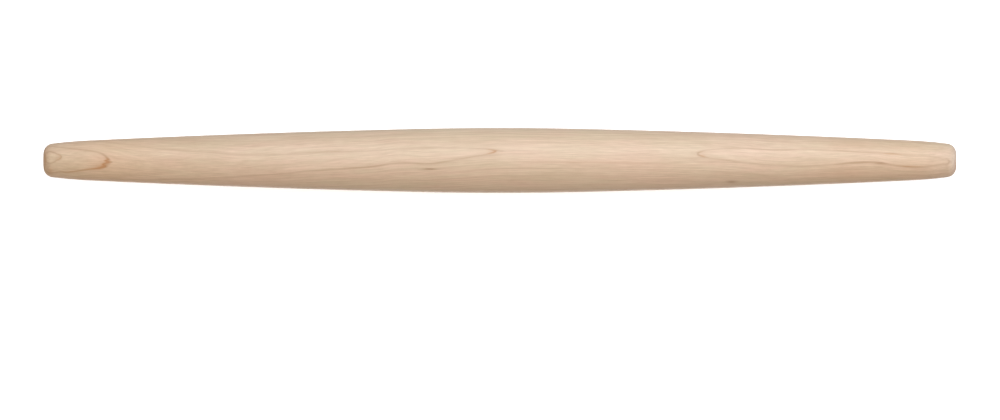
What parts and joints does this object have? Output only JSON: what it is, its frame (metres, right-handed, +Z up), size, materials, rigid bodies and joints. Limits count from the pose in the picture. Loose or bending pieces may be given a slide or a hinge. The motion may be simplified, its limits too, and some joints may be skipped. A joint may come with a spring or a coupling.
{
  "type": "french rolling pin",
  "caption": "Handleless tapered rolling pin, one turned stick of hard maple, widest at its middle, for rolling dough and pastry.",
  "frame": {"origin": "centre of the pin, on its own axis at mid-length", "axes": "+X along the pin's axis, +Z up as the pin lies on a worktop"},
  "size_m": [0.5334, 0.038, 0.0382],
  "materials": {
    "maple": "satin"
  },
  "bodies": {
    "root": {"rolling_pin": "maple"}
  },
  "joints": []
}
